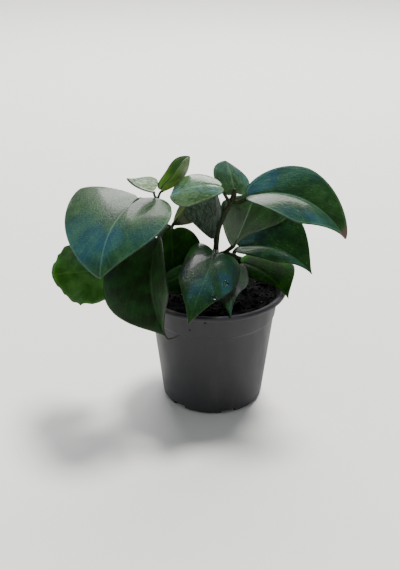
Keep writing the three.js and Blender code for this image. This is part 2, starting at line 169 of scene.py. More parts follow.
@dataclass(frozen=True)
class LeafWax:
    """The living leaf: a thick blade under a smooth waxy skin.

    The skin gives broad soft gloss that fine pleats break up, the flesh below it is a mottled green
    with paler ribs, and silvery flecks of trapped air lie just under the skin. A fine silvery grain
    is painted sheen that breaks up the gloss, and the margin carries a painted highlight and shade.
    """

    name: str
    upper: str
    light: str
    under: str
    rib: str
    fleck: str = "7d9a7a"
    # The margin colour is painted shade along the rounded edge.
    margin: str = "0c1a08"
    dry: str = "574c40"
    vein_share: float = 0.055
    rib_share: float = 0.42
    fleck_share: float = 0.16
    painted_sheen_share: float = 0.0
    roughness: float = 0.31
    coat: float = 0.28
    gloss: float = 0.4

    # Side veins, air flecks and grain are finer on the real leaf, and are drawn coarser to stay visible.
    VEIN_SPACING_MM = 13.0
    RIB_WIDTH_MM = 0.95
    MOTTLE_MM = 11.0
    FLECK_MM = 0.85
    GRAIN_MM = 1.3
    # The painted sheen and the pleats are longer along the blade than across it.
    SHEEN_MM = (3.333, 0.909)
    PLEAT_MM = (6.25, 2.381)
    RELIEF_MM = 0.3

    UNDER_RIB_SHARE = 0.5
    BEAD_HIGHLIGHT_SHARE = 0.2
    MARGIN_SHADE_SHARE = 0.85
    UNDER_ROUGHNESS = 0.5
    ROUGHNESS_SPREAD = 0.12
    VEIN_LEAN = 1.9

    def material(self) -> bpy.types.Material:
        """Builds the finish from what each point of a leaf says about its own place on the blade."""
        material, graph = new_material(self.name)
        place = graph.add(Node.PLACE)
        plan = graph.add(Node.PLAN)
        along, across, inset = graph.add(Node.SPLIT, plan).node.outputs
        upper_side = graph.add(Node.RAMP, graph.add(Node.FACE), -0.2, 0.2, 0.0, 1.0)
        mottle = graph.add(Node.NOISE, place, 1000 / self.MOTTLE_MM, 4.0)
        veins = self._veins(graph, along, across, inset, mottle)
        rib = self._rib(graph, along, across)
        flecks = self._flecks(graph, plan, mottle)
        pleats = self._pleats(graph, plan)
        # The silvery grain is painted sheen, not a colour of the leaf.
        painted_sheen = self._painted_sheen(graph, plan, pleats)

        patchy = graph.add(Node.RAMP, mottle, 0.35, 0.68, 0.0, 1.0)
        top = graph.add(Node.BLEND, patchy, linear(self.upper), linear(self.light))
        for share, tint in (
            (graph.add(Node.MULTIPLY, veins, self.vein_share), self.rib),
            (graph.add(Node.MULTIPLY, rib, self.rib_share), self.rib),
            (graph.add(Node.MULTIPLY, flecks, self.fleck_share), self.fleck),
            (painted_sheen, self.fleck),
        ):
            top = graph.add(Node.BLEND, share, top, linear(tint))
        bottom = graph.add(Node.BLEND, patchy, linear(self.under), linear(self.light))
        share = graph.add(Node.MULTIPLY, rib, self.UNDER_RIB_SHARE)
        bottom = graph.add(Node.BLEND, share, bottom, linear(self.rib))
        body = graph.add(Node.BLEND, upper_side, bottom, top)
        # The edge adds a painted highlight and painted shade along the margin.
        colour = self._painted_edge(graph, inset, body)
        dryness = graph.add(Node.ADD, graph.add(Node.WEAR), graph.add(Node.MULTIPLY, mottle, 0.4))
        withered = graph.add(Node.RAMP, dryness, 0.5, 0.9, 0.0, 1.0)
        colour = graph.add(Node.BLEND, withered, colour, linear(self.dry))

        grain = graph.add(Node.NOISE, place, 1000 / self.GRAIN_MM, 3.0)
        sunken = graph.add(Node.MULTIPLY, veins, 0.08)
        relief = graph.add(Node.SUBTRACT, graph.add(Node.ADD, grain, pleats), sunken)
        spread = self.roughness + self.ROUGHNESS_SPREAD
        smooth = graph.add(Node.RAMP, mottle, 0.3, 0.7, self.roughness, spread)
        graph.close(
            {
                "Base Color": colour,
                "Roughness": graph.add(Node.MIX, upper_side, self.UNDER_ROUGHNESS, smooth),
                "IOR": 1.45,
                "Specular IOR Level": self.gloss,
                "Coat Weight": self.coat,
                "Coat Roughness": 0.12,
                "Normal": graph.add(Node.BUMP, relief, self.RELIEF_MM * MM, 0.85),
            }
        )
        return material

    def _painted_edge(self, graph: Graph, inset: Socket, body: Socket) -> Socket:
        """Paints a pale bead just inside the margin, a painted highlight on the rounded edge,
        and a dark line along it, painted shade where the edge turns under.

        Args:
            graph: The material's graph.
            inset: Millimetres in from the margin.
            body: The blade's colour.

        Returns:
            The colour with its painted highlight and painted shade at the edge.
        """
        outer = graph.add(Node.RAMP, inset, 0.5, 1.0, 0.0, self.BEAD_HIGHLIGHT_SHARE)
        inner = graph.add(Node.RAMP, inset, 1.2, 2.4, 1.0, 0.0)
        bead_highlight = graph.add(Node.MULTIPLY, outer, inner)
        body = graph.add(Node.BLEND, bead_highlight, body, linear(self.rib))
        line = graph.add(Node.RAMP, inset, 0.1, 0.7, self.MARGIN_SHADE_SHARE, 0.0)
        return graph.add(Node.BLEND, line, body, linear(self.margin))

    def _veins(
        self, graph: Graph, along: Socket, across: Socket, inset: Socket, wander: Socket
    ) -> Socket:
        """Draws the side veins, which leave the rib forwards and fade before the margin.

        Args:
            graph: The material's graph.
            along: Millimetres along the rib.
            across: Millimetres from the rib, with its side as the sign.
            inset: Millimetres in from the margin.
            wander: A noise that bends the veins a little.

        Returns:
            One on a vein and zero between two.
        """
        spacing = self.VEIN_SPACING_MM
        lean = graph.add(Node.MULTIPLY, graph.add(Node.ABSOLUTE, across), self.VEIN_LEAN)
        side = graph.add(Node.MULTIPLY, graph.add(Node.SIGN, across), spacing * 0.22)
        run = graph.add(Node.ADD, graph.add(Node.SUBTRACT, along, lean), side)
        run = graph.add(Node.ADD, run, graph.add(Node.MULTIPLY, wander, spacing * 0.7))
        turn = graph.add(Node.FRACT, graph.add(Node.DIVIDE, run, spacing))
        off = graph.add(Node.ABSOLUTE, graph.add(Node.SUBTRACT, turn, 0.5))
        line = graph.add(Node.RAMP, graph.add(Node.MULTIPLY, off, 9.0), 0.15, 0.75, 1.0, 0.0)
        return graph.add(Node.MULTIPLY, line, graph.add(Node.RAMP, inset, 1.0, 6.0, 0.0, 1.0))

    def _rib(self, graph: Graph, along: Socket, across: Socket) -> Socket:
        """Draws the midrib as a line that thins out towards the tip.

        Args:
            graph: The material's graph.
            along: Millimetres along the rib.
            across: Millimetres from the rib.

        Returns:
            One on the rib and zero beside it.
        """
        off = graph.add(Node.ABSOLUTE, across)
        line = graph.add(Node.RAMP, off, 0.2, self.RIB_WIDTH_MM, 1.0, 0.0)
        return graph.add(Node.MULTIPLY, line, graph.add(Node.RAMP, along, 20.0, 75.0, 1.0, 0.45))

    def _flecks(self, graph: Graph, plan: Socket, mottle: Socket) -> Socket:
        """Scatters silvery flecks in clouds, each longer along the blade than across it.

        Args:
            graph: The material's graph.
            plan: The place on the blade, in millimetres.
            mottle: A coarse noise that gathers them.

        Returns:
            One on a fleck and zero elsewhere.
        """
        finest = 1 / self.FLECK_MM
        drawn = graph.add(Node.STRETCH, plan, (0.5 * finest, finest, 0.0))
        cells = graph.add(Node.CELLS, drawn, 1.0)
        spot = graph.add(Node.RAMP, cells, 0.2, 0.45, 1.0, 0.0)
        chosen = graph.add(Node.GREATER_THAN, cells.node.outputs["Color"], 0.6)
        cloud = graph.add(Node.RAMP, mottle, 0.4, 0.6, 0.1, 1.0)
        return graph.add(Node.MULTIPLY, graph.add(Node.MULTIPLY, spot, chosen), cloud)

    def _painted_sheen(self, graph: Graph, plan: Socket, pleats: Socket) -> Socket:
        """Paints a fine silvery grain into the colour as painted sheen, thicker on the crests of its
        pleats.

        Args:
            graph: The material's graph.
            plan: The place on the blade, in millimetres.
            pleats: The height of the pleats.

        Returns:
            The share of painted sheen.
        """
        length, width = self.SHEEN_MM
        drawn = graph.add(Node.STRETCH, plan, (1 / length, 1 / width, 0.0))
        grain = graph.add(Node.NOISE, drawn, 1.0, 5.0, inputs={"Roughness": 0.65})
        crests = graph.add(Node.MULTIPLY, pleats, 0.35)
        mixed = graph.add(Node.ADD, graph.add(Node.MULTIPLY, grain, 0.65), crests)
        return graph.add(Node.RAMP, mixed, 0.4, 0.64, 0.0, self.painted_sheen_share)

    def _pleats(self, graph: Graph, plan: Socket) -> Socket:
        """Makes the slight pleats that run along the blade and break the gloss.

        Args:
            graph: The material's graph.
            plan: The place on the blade, in millimetres.

        Returns:
            The height of the pleats, from zero to one.
        """
        length, width = self.PLEAT_MM
        drawn = graph.add(Node.STRETCH, plan, (1 / length, 1 / width, 0.0))
        return graph.add(Node.NOISE, drawn, 1.0, 3.0, inputs={"Distortion": 0.4})


@dataclass(frozen=True)
class YoungBark:
    """The green bark of a young hoya stem.

    It has fine long wrinkles and brown corky specks, which give a dull, broken sheen.
    """

    name: str = "young_hoya_bark"
    green: str = "13260a"
    brown: str = "2a2a14"
    WRINKLE_MM = 1.2
    WRINKLE_STRETCH = 4.0
    CORK_MM = 4.0
    RELIEF_MM = 0.3

    def material(self) -> bpy.types.Material:
        """Builds the finish from noise in the row's own frame, stretched up the stem."""
        material, graph = new_material(self.name)
        place = graph.add(Node.PLACE)
        drawn = graph.add(Node.STRETCH, place, (1.0, 1.0, 1 / self.WRINKLE_STRETCH))
        wrinkle = graph.add(Node.NOISE, drawn, 1000 / self.WRINKLE_MM, 3.0)
        cork = graph.add(Node.NOISE, place, 1000 / self.CORK_MM, 3.0)
        share = graph.add(Node.RAMP, cork, 0.42, 0.62, 0.0, 1.0)
        graph.close(
            {
                "Base Color": graph.add(Node.BLEND, share, linear(self.green), linear(self.brown)),
                "Roughness": graph.add(Node.RAMP, cork, 0.3, 0.7, 0.4, 0.6),
                "IOR": 1.45,
                "Specular IOR Level": 0.2,
                "Normal": graph.add(Node.BUMP, wrinkle, self.RELIEF_MM * MM, 0.6),
            }
        )
        return material


@dataclass(frozen=True)
class NurseryPlastic:
    """Thermoformed polypropylene: a thin grey wall.

    It has a soft satin shine over a faint moulded skin, and is dusty where water dried on it.
    """

    name: str = "grey_polypropylene"
    colour: str = "343437"
    dust: str = "4a4845"
    PEEL_MM = 1.4
    DUST_MM = 14.0
    DUST_STRETCH = 0.3
    RELIEF_MM = 0.12

    def material(self) -> bpy.types.Material:
        """Builds the finish from two sizes of noise, one for the moulded skin and one for dust."""
        material, graph = new_material(self.name)
        place = graph.add(Node.PLACE)
        peel = graph.add(Node.NOISE, place, 1000 / self.PEEL_MM, 2.0)
        drawn = graph.add(Node.STRETCH, place, (1.0, 1.0, self.DUST_STRETCH))
        stain = graph.add(Node.NOISE, drawn, 1000 / self.DUST_MM, 5.0)
        share = graph.add(Node.RAMP, stain, 0.48, 0.75, 0.0, 0.35)
        graph.close(
            {
                "Base Color": graph.add(Node.BLEND, share, linear(self.colour), linear(self.dust)),
                "Roughness": graph.add(Node.RAMP, stain, 0.35, 0.7, 0.45, 0.6),
                "IOR": 1.49,
                "Specular IOR Level": 0.2,
                "Normal": graph.add(Node.BUMP, peel, self.RELIEF_MM * MM, 0.4),
            }
        )
        return material


@dataclass(frozen=True)
class PottingMix:
    """Moist peat and bark: nearly black, rough, with browner fibres and a few pale mineral grains."""

    name: str = "moist_potting_mix"
    dark: str = "020101"
    brown: str = "0e0804"
    pale: str = "6b6255"
    CLOD_MM = 3.0
    RELIEF_MM = 0.8

    def material(self) -> bpy.types.Material:
        """Builds the finish: each grain has its own tone, and noise mottles the bed between them."""
        material, graph = new_material(self.name)
        place = graph.add(Node.PLACE)
        tone = graph.add(Node.FACE)
        clod = graph.add(Node.NOISE, place, 1000 / self.CLOD_MM, 6.0)
        share = graph.add(Node.RAMP, clod, 0.45, 0.75, 0.0, 0.8)
        bed = graph.add(Node.BLEND, share, linear(self.dark), linear(self.brown))
        fibre = graph.add(Node.RAMP, tone, 0.3, 0.8, 0.0, 0.7)
        bed = graph.add(Node.BLEND, fibre, bed, linear(self.brown))
        mineral = graph.add(Node.RAMP, tone, 0.96, 0.98, 0.0, 1.0)
        bed = graph.add(Node.BLEND, mineral, bed, linear(self.pale))
        graph.close(
            {
                "Base Color": bed,
                "Roughness": graph.add(Node.RAMP, clod, 0.35, 0.7, 0.7, 0.95),
                "IOR": 1.4,
                "Specular IOR Level": 0.08,
                "Normal": graph.add(Node.BUMP, clod, self.RELIEF_MM * MM, 0.8),
            }
        )
        return material


@dataclass(frozen=True)
class WaterDrop:
    """A drop of clear water resting on the wax, which shows as a dark bead with a bright glint."""

    name: str = "clear_water"
    colour: str = "e8f4f4"
    RIPPLE_MM = 2.5
    RELIEF_MM = 0.05

    def material(self) -> bpy.types.Material:
        """Builds a clear shader with water's IOR and the slightest unevenness."""
        material, graph = new_material(self.name)
        ripple = graph.add(Node.NOISE, graph.add(Node.PLACE), 1000 / self.RIPPLE_MM)
        graph.close(
            {
                "Base Color": linear(self.colour),
                "Roughness": 0.03,
                "IOR": 1.33,
                "Transmission Weight": 1.0,
                "Normal": graph.add(Node.BUMP, ripple, self.RELIEF_MM * MM, 0.3),
            }
        )
        return material


@dataclass(frozen=True)
class PaleFloor:
    """A sheet of matt white background paper with the faintest tooth."""

    name: str = "white_background_paper"
    colour: str = "f4f4f4"
    TOOTH_MM = 1.1111
    RELIEF_MM = 0.05

    def material(self) -> bpy.types.Material:
        """Builds matt paper."""
        material, graph = new_material(self.name)
        tooth = graph.add(Node.NOISE, graph.add(Node.PLACE), 1000 / self.TOOTH_MM)
        bump = graph.add(Node.BUMP, tooth, self.RELIEF_MM * MM)
        graph.close({"Base Color": linear(self.colour), "Roughness": 0.9, "Normal": bump})
        return material


class Tone(Enum):
    """A leaf's colours: upper side, its light patches, underside and rib.

    Some tones paint light: the shaded tone is a darker copy of the greens as painted shade, the sunlit
    one a lighter copy as painted light, and the pale, silvered and dark ones are paler or greyer as
    painted sheen.
    """

    MATURE = LeafWax("mature_hoya_leaf", "12300a", "1f4414", "2a4012", "6a9468", painted_sheen_share=0.04)
    # A darker copy of the mature greens, as painted shade.
    SHADED = LeafWax("shaded_hoya_leaf", "0a2206", "14340a", "18300a", "2c5020")
    SATIN = LeafWax(
        "satin_hoya_leaf", "0a2206", "14340a", "18300a", "2c5020", roughness=0.4, coat=0.14, gloss=0.3
    )
    DULL = LeafWax(
        "dull_hoya_leaf", "0e2e06", "1c480a", "1c340c", "34581f", roughness=0.58, coat=0.0, gloss=0.08
    )
    BRONZED = LeafWax(
        "bronzed_hoya_leaf", "12260b", "113a0e", "1c340c", "506a40", fleck_share=0.05,
        roughness=0.42, coat=0.1, gloss=0.25,
    )
    # A lighter copy of the greens, as painted light.
    SUNLIT = LeafWax("sunlit_hoya_leaf", "24540c", "40722a", "35570f", "6a9a44", rib_share=0.3)
    # Paler greens and a strong silvery grain, as painted sheen.
    PALE = LeafWax(
        "pale_hoya_leaf", "2c4a24", "4c6c42", "45602a", "7a9868", painted_sheen_share=0.5,
        roughness=0.28, coat=0.5,
    )
    YOUNG = LeafWax("young_hoya_leaf", "3a6a1c", "527a2a", "4f6a20", "86a050")
    # Pale greys and nearly all silvery grain, as painted sheen.
    SHEENED = LeafWax(
        "sheened_hoya_leaf", "5c7c4c", "8aa67c", "45602a", "8aa878", fleck="dce4d4", painted_sheen_share=0.9,
        roughness=0.25, coat=0.6,
    )
    BLOOMED = LeafWax(
        "bloomed_hoya_leaf", "203c1a", "36562e", "2a4012", "5a7a50", fleck_share=0.3, painted_sheen_share=0.14
    )
    OLIVE = LeafWax("olive_hoya_leaf", "2a380e", "3c4a18", "35420f", "5a6a30")
    # Greyed light patches and flecks, partly painted sheen.
    DARK = LeafWax(
        "dark_hoya_leaf", "16221a", "34443a", "162808", "44584a", fleck_share=0.3, painted_sheen_share=0.4
    )


class Shell:
    """A mesh in the making, in millimetres, with each point's place on its blade."""

    def __init__(self) -> None:
        """Starts with nothing in it."""
        self.points: list[np.ndarray] = []
        self.plans: list[np.ndarray] = []
        self.tones: list[np.ndarray] = []
        self.wears: list[np.ndarray] = []
        self.faces: Faces = []
        self.slots: list[int] = []
        self.count = 0

    def add(
        self,
        points: np.ndarray,
        faces: Faces,
        plan: np.ndarray | None = None,
        tone: np.ndarray | None = None,
        wear: np.ndarray | None = None,
        slot: int = 0,
    ) -> None:
        """Adds a closed form.

        Args:
            points: One row of x, y and z for each point.
            faces: Point numbers, counted within this form.
            plan: Millimetres along the rib, across it and in from the margin, for each point.
            tone: Which face of a blade, or how pale a grain, for each point.
            wear: How withered the blade is, for each point.
            slot: The number of the material that the form wears.
        """
        total = len(points)
        self.points.append(points)
        self.plans.append(np.zeros((total, 3)) if plan is None else plan)
        self.tones.append(np.zeros(total) if tone is None else tone)
        self.wears.append(np.zeros(total) if wear is None else wear)
        self.faces += [tuple(self.count + i for i in face) for face in faces]
        self.slots += [slot] * len(faces)
        self.count += total

    def build(self, name: str, materials: list[bpy.types.Material]) -> bpy.types.Object:
        """Makes the object.

        Args:
            name: The piece's name.
            materials: The materials that its forms wear.

        Returns:
            The object, in the scene and in metres.
        """
        points = np.concatenate(self.points) * MM
        mesh = bpy.data.meshes.new(name)
        mesh.from_pydata(points.tolist(), [], self.faces)
        for material in materials:
            mesh.materials.append(material)
        mesh.polygons.foreach_set("material_index", self.slots)
        mesh.polygons.foreach_set("use_smooth", [True] * len(self.faces))
        plan = mesh.attributes.new("plan", "FLOAT_VECTOR", "POINT")
        plan.data.foreach_set("vector", np.concatenate(self.plans).ravel())
        for label, values in (("face", self.tones), ("wear", self.wears)):
            marks = mesh.attributes.new(label, "FLOAT", "POINT")
            marks.data.foreach_set("value", np.concatenate(values))
        mesh.update()
        piece = bpy.data.objects.new(name, mesh)
        bpy.context.scene.collection.objects.link(piece)
        return piece


def settle(piece: bpy.types.Object, slot: str, *nodes: str) -> None:
    """Hands a piece to the frame: it rides on the plant's one body and stands for its CAD nodes.

    Args:
        piece: The piece.
        slot: The record's material slot; not used.
        *nodes: The CAD nodes that it stands for.
    """
    if nodes:
        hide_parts(*nodes)
    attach(piece, "root")
    log.info("%s: %d points", piece.name, len(piece.data.vertices))


def cubic(points: np.ndarray, share: np.ndarray) -> np.ndarray:
    """Follows a cubic Bezier curve.

    Args:
        points: Its four points.
        share: Where on it, from zero to one.

    Returns:
        The place for each share.
    """
    t = share[..., None]
    return (
        (1 - t) ** 3 * points[0]
        + 3 * (1 - t) ** 2 * t * points[1]
        + 3 * (1 - t) * t**2 * points[2]
        + t**3 * points[3]
    )


def cubic_slope(points: np.ndarray, share: np.ndarray) -> np.ndarray:
    """Gives the direction of a cubic Bezier curve, not made to unit length.

    Args:
        points: Its four points.
        share: Where on it.

    Returns:
        The slope for each share.
    """
    t = share[..., None]
    steps = np.diff(points, axis=0)
    return (1 - t) ** 2 * steps[0] + 2 * (1 - t) * t * steps[1] + t**2 * steps[2]


def unit(vectors: np.ndarray) -> np.ndarray:
    """Makes vectors one long."""
    return vectors / np.maximum(np.linalg.norm(vectors, axis=-1, keepdims=True), 1e-12)


def smooth_path(points: list[Point], steps: int) -> np.ndarray:
    """Runs a smooth curve through points.

    Args:
        points: The points that it passes.
        steps: How many steps it takes in all.

    Returns:
        One place for each step, with both ends.
    """
    given = np.array(points, float)
    wide = np.vstack([2 * given[0] - given[1], given, 2 * given[-1] - given[-2]])
    spans = len(given) - 1
    places = []
    for share in np.linspace(0, spans, steps + 1):
        span = min(int(share), spans - 1)
        t = share - span
        a, b, c, d = wide[span : span + 4]
        run = (c - a) * t
        bow = (2 * a - 5 * b + 4 * c - d) * t**2
        turn = (3 * b - a - 3 * c + d) * t**3
        places.append(0.5 * (2 * b + run + bow + turn))
    return np.array(places)


def ring_faces(rings: int, sides: int, inside_out: bool = False) -> Faces:
    """Joins rings of points into one closed skin, with a flat face at each end.

    Args:
        rings: How many rings there are.
        sides: How many points each has.
        inside_out: Whether the faces look the other way.

    Returns:
        The faces, by point number.
    """
    faces = []
    for ring in range(rings - 1):
        for turn in range(sides):
            a, b = ring * sides + turn, ring * sides + (turn + 1) % sides
            faces.append((a, b, b + sides, a + sides))
    ends = [tuple(range(sides))[::-1], tuple(range((rings - 1) * sides, rings * sides))]
    if inside_out:
        faces = [(a, d, c, b) for a, b, c, d in faces]
        ends = [end[::-1] for end in ends]
    return faces + ends


def tube(path: np.ndarray, radii: np.ndarray, sides: int) -> tuple[np.ndarray, Faces]:
    """Lays a round tube with domed ends along a path.

    Args:
        path: The path's places.
        radii: The radius at each of them.
        sides: How many sides the tube has.

    Returns:
        Its points and faces.
    """
    run = unit(np.gradient(path, axis=0))
    first = unit(np.cross(run, [0.3, 1.0, 0.2]))
    second = np.cross(run, first)
    domes = [(0.0, 0.35), (0.12, 0.75)]
    rings = [(path[0] + run[0] * radii[0] * push, radii[0] * size, 0) for push, size in domes]
    rings += [(path[row], radii[row], row) for row in range(1, len(path) - 1)]
    for push, size in reversed(domes):
        rings.append((path[-1] - run[-1] * radii[-1] * push, radii[-1] * size, -1))
    angles = np.linspace(0, 2 * math.pi, sides, endpoint=False)[:, None]
    circles = [
        centre + radius * (np.cos(angles) * first[row] + np.sin(angles) * second[row])
        for centre, radius, row in rings
    ]
    return np.vstack(circles), ring_faces(len(rings), sides)


def read_form(form: bmesh.types.BMesh) -> tuple[np.ndarray, Faces]:
    """Reads a form's points and faces, and frees it.

    Args:
        form: The form.

    Returns:
        Its points and faces.
    """
    points = np.array([corner.co for corner in form.verts])
    faces = [tuple(corner.index for corner in face.verts) for face in form.faces]
    form.free()
    return points, faces


@dataclass
class Leaf:
    """One leaf with its stalk, in millimetres and degrees.

    The blade's form is the source's own: two half outlines, a bowed midrib, a fold and a curl. In a pair
    the left half comes first, seen from base to end with the upper face up. The lumps are how deep the
    margin dips, the swell how high the blade's slight waves are, and the dry tip how long it is.
    """

    node: str
    tone: Tone
    stalk: tuple[Point, ...]
    base: Point
    end: Point
    half: Pair
    roll: float = 0.0
    sweep: Pair = (0.0, 0.0)
    rise: Pair = (0.0, 0.0)
    fold: Pair = (0.0, 0.0)
    curl: Pair = (0.0, 0.0)
    lobe: Pair = (0.15, 0.15)
    shoulder: Pair = (0.45, 0.45)
    belly: Pair = (0.55, 0.55)
    wide: Pair = (0.38, 0.38)
    keep: Pair = (0.5, 0.5)
    tip: Pair = (0.1, 0.1)
    tip_width: Pair = (0.06, 0.06)
    stalk_radius: float = 1.6
    tail: tuple[Point, ...] = ()
    dry_tip: float = 0.0
    lumps: float = 0.0
    swell: float = 0.35
    rows: int = 76
    columns: int = 60

    # The blade's rows run between these shares of its length, short of the points at its ends.
    FIRST = 0.03
    LAST = 0.992
    RIB_THICKNESS = 2.2
    MARGIN_THICKNESS = 0.9
    ROUNDING = 0.45
    GROOVE_DEPTH = 0.4
    KEEL_HEIGHT = 0.45
    # The stalk runs on below the rib, at these shares of its length and depths.
    ROOTING = ((0.02, 0.6), (0.14, 0.5), (0.26, 0.3))
    STALK_STEPS = 40
    STALK_SIDES = 16
    TAIL_STEPS = 30
    TAIL_SIDES = 10
    TAIL_RADII = (0.6, 0.3)

    def __post_init__(self) -> None:
        """Sets up the blade's own frame and its midrib."""
        start, finish = np.array(self.base, float), np.array(self.end, float)
        self.length = float(np.linalg.norm(finish - start))
        along = (finish - start) / self.length
        up = unit(np.array([0.0, 0.0, 1.0]) - along[2] * along)
        left = np.cross(up, along)
        angle = math.radians(self.roll)
        left, up = (
            left * math.cos(angle) + up * math.sin(angle),
            up * math.cos(angle) - left * math.sin(angle),
        )
        self.frame = np.array([along, left, up])
        third = self.length / 3
        self.midrib = np.array(
            [
                (0, 0, 0),
                (third, self.sweep[0], self.rise[0]),
                (2 * third, self.sweep[1], self.rise[1]),
                (self.length, 0, 0),
            ],
            float,
        )

    def outline(self, t: np.ndarray, side: int) -> np.ndarray:
        """Follows one half of the outline.

        Args:
            t: From zero at the base to one at the tip.
            side: Zero for the left half and one for the right.

        Returns:
            Fractions of the length and of the half width.
        """
        wide, lobe = self.wide[side], self.lobe[side]
        inner = np.array(
            [
                (0, 0.03),
                (-lobe, self.shoulder[side]),
                (wide - self.belly[side] * (wide + lobe / 2), 1),
                (wide, 1),
            ]
        )
        outer = np.array(
            [
                (wide, 1),
                (wide + self.keep[side] * (1 - wide), 1),
                (1 - self.tip[side], self.tip_width[side]),
                (1, 0),
            ]
        )
        near = cubic(inner, np.clip(t * 2, 0, 1))
        far = cubic(outer, np.clip(t * 2 - 1, 0, 1))
        return np.where((t < 0.5)[..., None], near, far)

    def surface(self, t: np.ndarray, s: np.ndarray) -> tuple[np.ndarray, np.ndarray]:
        """Gives the blade's middle surface.

        Args:
            t: From zero at the base to one at the tip.
            s: From minus one at the left margin to one at the right.

        Returns:
            The points, and their plan: millimetres along, across and in from the margin.
        """
        t, s = np.broadcast_arrays(t, s)
        left = s < 0
        edge = np.where(left[..., None], self.outline(t, 0), self.outline(t, 1))
        half = np.where(left, self.half[0], self.half[1])
        lump = np.sin(31 * t + 2.0) * np.sin(13 * t + 1.0) * np.abs(s) ** 3 * self.lumps
        x = t + (edge[..., 0] - t) * np.abs(s)
        y = np.maximum(edge[..., 1] * half - np.abs(lump), 0) * np.abs(s)
        inside = np.maximum(x, 0)
        centre = cubic(self.midrib, inside) + 3 * self.midrib[1] * np.minimum(x, 0)[..., None]
        slope = unit(cubic_slope(self.midrib, inside))
        normal = unit(np.array([0.0, 0.0, 1.0]) - slope[..., 2:3] * slope)
        sideways = np.cross(normal, slope)
        fold = np.radians(np.where(left, self.fold[0], self.fold[1]))
        curl = np.where(left, self.curl[0] or 0.001, self.curl[1] or 0.001)
        bend = np.radians(curl) / half
        out = (np.sin(fold + bend * y) - np.sin(fold)) / bend
        lift = (np.cos(fold) - np.cos(fold + bend * y)) / bend
        place = centre + sideways * np.where(left, out, -out)[..., None] + normal * lift[..., None]
        margin = (1 - np.abs(s)) * np.maximum(edge[..., 1] * half, np.abs(edge[..., 0] - t) * self.length)
        plan = np.stack([x * self.length, np.where(left, -y, y), margin], -1)
        return np.array(self.base) + place @ self.frame, plan

    def normal(self, t: np.ndarray, s: np.ndarray) -> np.ndarray:
        """Gives the direction that the upper face looks in, at the same places."""
        step = 0.004
        forward = self.surface(t + step, s)[0] - self.surface(t - step, s)[0]
        right = self.surface(t, s + step)[0] - self.surface(t, s - step)[0]
        return unit(np.cross(right, forward))

    def beneath(self, t: float, depth: float) -> Point:
        """Gives the point at a depth under the rib."""
        at, middle = np.array([t]), np.array([0.0])
        return tuple(self.surface(at, middle)[0][0] - depth * self.normal(at, middle)[0])

    def blade(self) -> tuple[np.ndarray, Faces, np.ndarray, np.ndarray]:
        """Makes the closed blade with a round margin, a sunken rib above and a raised one below.

        Returns:
            Points, faces, plan and tone.
        """
        # Rows crowd towards both ends, and columns towards both margins.
        ends = np.sin(np.linspace(-math.pi / 2, math.pi / 2, self.rows + 1)) * 0.5 + 0.5
        even = np.linspace(0, 1, self.rows + 1)
        t = (self.FIRST + (self.LAST - self.FIRST) * (0.5 * ends + 0.5 * even))[:, None]
        fan = np.linspace(-1, 1, self.columns + 1)
        s = (np.sign(fan) * np.abs(np.sin(fan * math.pi / 2)) ** 0.9)[None, :]
        middle, plan = self.surface(t, s)
        normal = self.normal(t, s)
        x, y, margin = plan[..., 0], plan[..., 1], plan[..., 2]
        ripple = np.sin(x / 9.0 + 1.3 * np.sign(y) + self.length) * np.sin(y / 7.5 + 0.6)
        fade = np.clip(margin / 5, 0.25, 1) * np.clip(np.abs(y) / 4, 0, 1)
        middle = middle + normal * (self.swell * ripple * fade)[..., None]
        swell = (1 - np.abs(s) ** 1.5) * (1 - 0.6 * t)
        half = (self.MARGIN_THICKNESS + (self.RIB_THICKNESS - self.MARGIN_THICKNESS) * swell) / 2
        half = half * np.sqrt(1 - (1 - np.clip(margin / self.ROUNDING, 0, 1)) ** 2)
        end_gap = np.minimum(t - self.FIRST, self.LAST - t) * self.length
        half = half * np.sqrt(1 - (1 - np.clip(end_gap / self.ROUNDING, 0.02, 1)) ** 2)
        groove = self.GROOVE_DEPTH * np.exp(-((y / 1.1) ** 2)) * (1 - 0.7 * t)
        keel = self.KEEL_HEIGHT * np.exp(-((y / 1.5) ** 2)) * (1 - 0.8 * t)
        inner = np.clip(end_gap / 3, 0, 1)
        upper = middle + normal * (half - groove * inner)[..., None]
        lower = middle - normal * (half + keel * inner)[..., None]

        width = self.columns + 1
        points = np.concatenate([upper, lower[:, -2:0:-1]], axis=1)
        plans = np.concatenate([plan, plan[:, -2:0:-1]], axis=1)
        tones = np.ones(points.shape[:2])
        tones[:, width:] = -1
        tones[:, [0, width - 1]] = 0
        return points.reshape(-1, 3), self._skin(), plans.reshape(-1, 3), tones.ravel()

    def _skin(self) -> Faces:
        """Joins the blade's rows, and closes it at both ends between its upper and lower side."""
        around = 2 * self.columns
        last = self.rows * around
        faces = []
        for row in range(self.rows):
            for turn in range(around):
                a = row * around + turn
                b = row * around + (turn + 1) % around
                faces.append((a, a + around, b + around, b))
        for turn in range(1, self.columns):
            near, under = turn, around - turn
            step, below = turn - 1, (around - turn + 1) % around
            faces.append((near, step, below, under) if step != below else (near, step, under))
            near, under, step, below = near + last, under + last, step + last, below + last
            faces.append((near, under, below, step) if step != below else (near, under, step))
        tail_near, tail_under = self.columns - 1, self.columns + 1
        faces.append((self.columns, tail_near, tail_under))
        faces.append((self.columns + last, tail_under + last, tail_near + last))
        return faces

